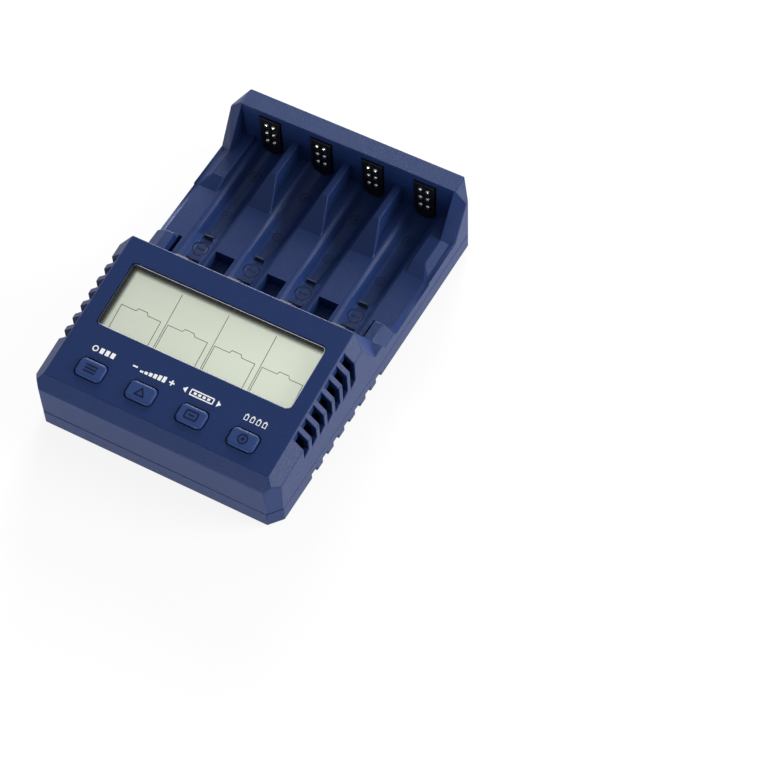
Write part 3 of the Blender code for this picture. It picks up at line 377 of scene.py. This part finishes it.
def gather(parts):
    """Joins meshes, each moved by its matrix, into one."""
    whole = bmesh.new()
    for bm, matrix in parts:
        bm.transform(matrix)
        mesh = bpy.data.meshes.new("part")
        bm.to_mesh(mesh)
        bm.free()
        whole.from_mesh(mesh)
        bpy.data.meshes.remove(mesh)
    bmesh.ops.recalc_face_normals(whole, faces=whole.faces)
    return whole


def box(width, height, cx=0.0, cy=0.0):
    """A rectangle's outline."""
    return [(cx + a * width / 2, cy + b * height / 2) for a, b in ((-1, -1), (1, -1), (1, 1), (-1, 1))]


def round_box(width, height, radius):
    """A rectangle's outline with round corners."""
    points = []
    steps = 6
    for sx, sy, start in ((1, -1, -90), (1, 1, 0), (-1, 1, 90), (-1, -1, 180)):
        for i in range(steps + 1):
            angle = math.radians(start + 90 * i / steps)
            points.append((sx * (width / 2 - radius) + radius * math.cos(angle),
                           sy * (height / 2 - radius) + radius * math.sin(angle)))
    return points


def in_mm(*points):
    """An outline from points in millimetres."""
    return [(a * MM, b * MM) for a, b in points]


lcd = Finish("lcd_pale_painted_glow", (0.39, 0.42, 0.35), 0.35)
lcd.tint(lcd.noise(14 * MM), (0.37, 0.40, 0.335), (0.41, 0.44, 0.365))
# Painted light: the glass glows, more towards the right, in place of light falling on it.
lcd.tint(lcd.axis("X").step(-45 * MM, 55 * MM), (0.575, 0.625, 0.52), (0.79, 0.85, 0.71), "Emission Color")
lcd.shader.inputs["Emission Strength"].default_value = 0.70
lcd.bump(lcd.noise(0.2 * MM), 0.004 * MM, 0.4)
dress(lcd, "lcd_glass")
guide = Finish("light_guide", (0.85, 0.87, 0.84), 0.4)
guide.tint(guide.noise(4 * MM), (0.82, 0.84, 0.81), (0.86, 0.88, 0.85))
dress(guide, "backlight")
holder = Finish("frame_white", (0.7, 0.7, 0.68), 0.5)
holder.tint(holder.noise(3 * MM), (0.66, 0.66, 0.64), (0.72, 0.72, 0.70))
dress(holder, "lcd_frame")

ink = Finish("segment_grey", (0.08, 0.09, 0.07), 0.5)
ink.tint(ink.noise(2 * MM), (0.05, 0.06, 0.05), (0.11, 0.12, 0.10))
cell = in_mm((-8.1, -12.4), (8.3, -12.4), (8.3, -1.9), (2.9, -1.9), (2.2, -0.8), (-1.6, -0.8),
             (-2.1, -1.9), (-8.1, -1.9))
etched = []
for column in range(4):
    centre = on_top((column - 1.5) * COLUMN_PITCH + COLUMN_SHIFT, WINDOW_CENTRE, ON_GLASS) @ LEAN
    etched.append((hoop(cell, LINE, FILM), centre))
    if column:
        etched.append((plate(box(*DIVIDER), FILM), centre))
piece("lcd_segments", gather(etched), ink, CHARGER)

# Painted shadow: the mask's inner edge fades over a wider band at the left and the rear, for the soft shadow
# of the case's edge on the glass.
faded = Finish("mask_painted_shadow", MASK_BLACK, 0.8)
faded.rough(faded.noise(1 * MM), 0.75, 0.9)
mask_x, mask_y = faded.axis("X"), faded.axis("Y")
clear_part = mask_x.step(*FADE_LEFT) * (1 - mask_x.step(*FADE_RIGHT))
clear_part = clear_part * mask_y.step(*FADE_FRONT) * (1 - mask_y.step(*FADE_REAR))
faded.tree.links.new((1 - clear_part).socket, faded.shader.inputs["Alpha"])
border = hoop(round_box(*MASK_SIZE, MASK_CORNER), MASK_WIDTH, FILM)
# The mask is shifted to widen its dark band at the left and the rear, as painted shadow.
piece("lcd_mask", gather([(border, on_top(MASK_SHIFT, WINDOW_CENTRE - MASK_SHIFT, ON_GLASS))]), faded,
      CHARGER)


# ---- Window
# A clear acrylic plate set a little into the case, its sides black as painted shade of the window's well. A
# thin bright line along its edge is a painted highlight, dark at the left.

LENS_EDGE, LENS_INSET, LENS_CORNER = 0.2 * MM, 0.8 * MM, 1.6 * MM
SHINE_LINE, SHINE_DEPTH, SHINE_RISE = 0.22 * MM, 0.9 * MM, 0.05 * MM
SHORT_EDGE = 0.4 * MM
NARROW_CURVE = 0.5 * MM
UPRIGHT = 0.3

clear = Finish("lens_clear", (0.2, 0.21, 0.2), 0.05, alpha=0.10)
clear.rough(clear.noise(6 * MM), 0.03, 0.07)
pane = softened("window_lens", LENS_EDGE, shortest=SHORT_EDGE)
lens = piece("lens", pane, clear, CHARGER, NARROW_CURVE, "window_lens")
# Painted shade: the lens's upright sides are black, darkening the window's well seen through it.
sides = Finish("lens_sides_painted_shade", MASK_BLACK, 0.8, specular=0.05)
sides.rough(sides.noise(1 * MM), 0.75, 0.9)
lens.data.materials.append(sides.material)
upwards = Matrix.Rotation(TOP_TILT, 3, "X") @ Vector((0, 0, 1))
for face in lens.data.polygons:
    face.material_index = int(abs(face.normal.dot(upwards)) < UPRIGHT)
# Painted highlight: a bright translucent strip for the light on the lens's edge, darker at the left.
shine = Finish("lens_edge_painted_highlight", (0.60, 0.63, 0.65), 0.12, alpha=0.85)
shine.tint(shine.axis("X").step(-39.0 * MM, -36.0 * MM), (0.10, 0.11, 0.13), (0.86, 0.88, 0.90))
shine.rough(shine.noise(2 * MM), 0.1, 0.2)
rim = round_box(WINDOW[0] - LENS_INSET, WINDOW[1] - LENS_INSET, LENS_CORNER)
bright = hoop(rim, SHINE_LINE, SHINE_RISE)
piece("lens_edge_painted_highlight", gather([(bright, on_top(0, WINDOW_CENTRE, -SHINE_DEPTH))]), shine, CHARGER)


# ---- Buttons
# Caps of the case's plastic with rounded rims, each with its own low sign, darker than the cap as painted
# shade. Under them stand the stems and the board's switches.

CAP_EDGE, CAP_RISE = 0.45 * MM, 0.9 * MM
SIGN_RISE, SIGN_SINK = 0.12 * MM, 0.02 * MM
STROKE_MM = 0.42
BUTTON_ALONG, BUTTON_PITCH = 12.3 * MM, 20.4 * MM

cap_blue = moulded("cap_blue", (0.020, 0.045, 0.150), (0.023, 0.051, 0.166), 0.02 * MM)
# Painted shade: the low signs are much darker than the caps and the case they stand on.
sign_painted_shade = moulded("sign_painted_shade", (0.003, 0.006, 0.022), (0.004, 0.008, 0.028), 0.01 * MM)
stem = Finish("stem_black", (0.02, 0.02, 0.022), 0.5)
stem.tint(stem.noise(1 * MM), (0.016, 0.016, 0.018), (0.028, 0.028, 0.03))
switch = Finish("switch_steel", (0.55, 0.55, 0.56), 0.32, metallic=1.0)
switch.rough(switch.noise(0.6 * MM, stretch=(1, 8, 1)), 0.25, 0.45)


def disc(radius, count=28):
    """A circle's outline."""
    angles = [2 * math.pi * i / count for i in range(count)]
    return [(radius * math.cos(angle), radius * math.sin(angle)) for angle in angles]


def bar(width, height=STROKE_MM, cx=0.0, cy=0.0, thickness=SIGN_RISE):
    """A flat bar; its place and size are in millimetres."""
    return plate(box(width * MM, height * MM, cx * MM, cy * MM), thickness)


def line(outline, width=STROKE_MM, thickness=SIGN_RISE):
    """A closed line; its width is in millimetres."""
    return hoop(outline, width * MM, thickness)


signs = {1: [bar(4.6, cy=1.25), bar(4.6), bar(4.6, cy=-1.25)],
         2: [line(in_mm((-2.1, -1.6), (2.1, -1.6), (0, 1.9)))],
         3: [line(round_box(5.0 * MM, 3.4 * MM, 0.5 * MM)), bar(2.4)],
         4: [line(disc(1.9 * MM)), plate(disc(0.6 * MM, 16), SIGN_RISE)]}
for number, sign in signs.items():
    body = f"button_{number}_body"
    cap = softened(f"button_{number}", CAP_EDGE, angle=20, shortest=SHORT_EDGE)
    piece(f"cap_{number}", cap, cap_blue, body, CURVED, f"button_{number}")
    place = on_top((number - 2.5) * BUTTON_PITCH, BUTTON_ALONG, CAP_RISE - SIGN_SINK)
    piece(f"cap_sign_{number}", gather([(part, place) for part in sign]), sign_painted_shade, body)
    dress(stem, f"switch_stem_{number}")
    dress(switch, f"switch_{number}")


# ---- Prints
# White signs printed over the buttons, one for each: a ring with three bars, a rising level, a
# row of marks between two arrows, and four cells.

PRINT, PRINT_RISE = 0.04 * MM, 0.005 * MM
PRINT_ALONG = 20.2 * MM

white = Finish("print_white", (0.86, 0.87, 0.88), 0.5)
white.tint(white.noise(0.6 * MM), (0.78, 0.80, 0.82), (0.90, 0.91, 0.92))


def plus(size, width):
    """A plus sign's outline."""
    a, b = size / 2, width / 2
    return [(-a, -b), (-b, -b), (-b, -a), (b, -a), (b, -b), (a, -b),
            (a, b), (b, b), (b, a), (-b, a), (-b, b), (-a, b)]


def printed(across, parts):
    """Places shapes in a row on the top, each at its distance in millimetres from the middle."""
    place = on_top(across * MM, PRINT_ALONG, PRINT_RISE)
    return [(part, place @ Matrix.Translation((cx * MM, 0, 0))) for part, cx in parts]


def stripe(width, height, cy=0.0):
    """A printed bar."""
    return bar(width, height, 0, cy, PRINT)


def arrow(side):
    """A printed arrow head that points to one side."""
    return plate(in_mm((side * 0.9, 0), (-side * 0.6, -1.2), (-side * 0.6, 1.2)), PRINT)


def small_cell():
    """A standing cell's outline with its terminal."""
    return line(in_mm((-0.75, -1.2), (0.75, -1.2), (0.75, 0.85), (0.35, 0.85), (0.35, 1.3), (-0.35, 1.3),
                      (-0.35, 0.85), (-0.75, 0.85)), 0.26, PRINT)


art = printed(-30.0, [(line(disc(1.15 * MM), thickness=PRINT), -3.6)])
art += printed(-30.0, [(stripe(1.5, 2.1), cx) for cx in (-0.9, 1.3, 3.5)])
art += printed(-9.9, [(stripe(1.9, 0.55), -7.4), (plate(plus(2.1 * MM, 0.55 * MM), PRINT), 7.4)])
art += printed(-9.9, [(stripe(1.25, 0.7 + 0.32 * i, 0.16 * i - 0.8), 1.75 * i - 4.4) for i in range(6)])
art += printed(9.6, [(arrow(-1), -6.7), (arrow(1), 6.7),
                     (line(round_box(9.4 * MM, 2.5 * MM, 0.4 * MM), 0.45, PRINT), 0)])
art += printed(9.6, [(stripe(1.1, 0.9), 1.8 * i - 2.7) for i in range(4)])
art += printed(31.0, [(small_cell(), 2.4 * i - 3.6) for i in range(4)])
piece("top_prints", gather(art), white, CHARGER)


# ---- Marks in the troughs
# Low moulded lines that follow each trough's floor, darker than the case as painted shade: a ringed minus in
# front of the step, and a smaller ringed minus and a ringed plus behind it.

LIFT = 0.13 * MM
LONG_LINE = 0.8 * MM
FOOT_HEIGHT = 0.8 * MM
BAY_PITCH = 21.6 * MM
WIDE = {"radius": 7.5 * MM, "axis": 17.2 * MM}
NARROW = {"radius": 5.5 * MM, "axis": 14.2 * MM}


def on_floor(parts, bay, along, radius, axis):
    """Bends flat marks onto a trough's floor."""
    bent = gather([(part, Matrix.Identity(4)) for part in parts])
    long = [e for e in bent.edges if e.calc_length() > LONG_LINE]
    bmesh.ops.subdivide_edges(bent, edges=long, cuts=3)
    for v in bent.verts:
        v.co.z += axis - math.sqrt(radius ** 2 - v.co.x ** 2) - LIFT / 2
    bent.transform(Matrix.Translation((bay, along - HALF_DEPTH, FOOT_HEIGHT)))
    return bent, Matrix.Identity(4)


floor_marks = []
for i in range(4):
    bay = (i - 1.5) * BAY_PITCH
    minus = [line(disc(3.1 * MM, 36), 0.34, LIFT), bar(3.4, thickness=LIFT)]
    small_minus = [line(disc(1.9 * MM), 0.28, LIFT), bar(1.6, 0.32, thickness=LIFT)]
    ringed_plus = [line(disc(2.2 * MM), 0.3, LIFT), plate(plus(2.4 * MM, 0.4 * MM), LIFT)]
    floor_marks += [on_floor(minus, bay, 85.2 * MM, **WIDE),
                    on_floor(small_minus, bay, 103.5 * MM, **NARROW),
                    on_floor(ringed_plus, bay, 124.0 * MM, **NARROW)]
# The marks take the darker sign plastic as painted shade.
piece("trough_marks", gather(floor_marks), sign_painted_shade, CHARGER)


# ---- Contacts
# Nickel plates whose six domes stand through black inserts in the rear wall, and dull spring leaves at the
# other end of each trough, one for each length of cell. The shorter cells' leaves are dark blue-grey,
# painted as shade and as the blue plastic they reflect.

INSERT_EDGE = 0.12 * MM

black = Finish("insert_black", (0.004, 0.004, 0.005), 0.36)
black.rough(black.noise(1.2 * MM), 0.3, 0.45)
for number in range(1, 5):
    insert = softened(f"contact_insert_{number}", INSERT_EDGE, angle=60, shortest=SHORT_EDGE)
    piece(f"insert_{number}", insert, black, CHARGER, NARROW_CURVE,
          f"contact_insert_{number}")
nickel = Finish("nickel", (0.80, 0.78, 0.72), 0.2, metallic=1.0)
nickel.rough(nickel.noise(0.8 * MM), 0.14, 0.28)
dress(nickel, *each("contact_plus"))
leaf = Finish("leaf_nickel", (0.09, 0.088, 0.086), 0.72, metallic=1.0)
leaf.rough(leaf.noise(0.7 * MM, stretch=(1, 6, 6)), 0.66, 0.80)
dress(leaf, *each("contact_aa"))
# Painted shade and reflection: the shorter cells' leaves are dark blue-grey, as if shaded and mirroring the
# blue plastic.
dull = Finish("leaf_painted_shade", (0.07, 0.09, 0.14), 0.6, metallic=1.0)
dull.rough(dull.noise(0.7 * MM, stretch=(1, 6, 6)), 0.52, 0.66)
dress(dull, *each("contact_aaa"))


# ---- Screws and feet
# Four steel screws in deep holes hold the shells together. Four black rubber discs carry the
# case.

steel = Finish("screw_steel", (0.35, 0.35, 0.36), 0.35, metallic=1.0)
steel.rough(steel.noise(0.4 * MM), 0.25, 0.5)
dress(steel, *each("screw"))
rubber = Finish("foot_rubber", (0.02, 0.02, 0.021), 0.8)
rubber.bump(rubber.noise(0.4 * MM), 0.02 * MM)
dress(rubber, *each("foot"))
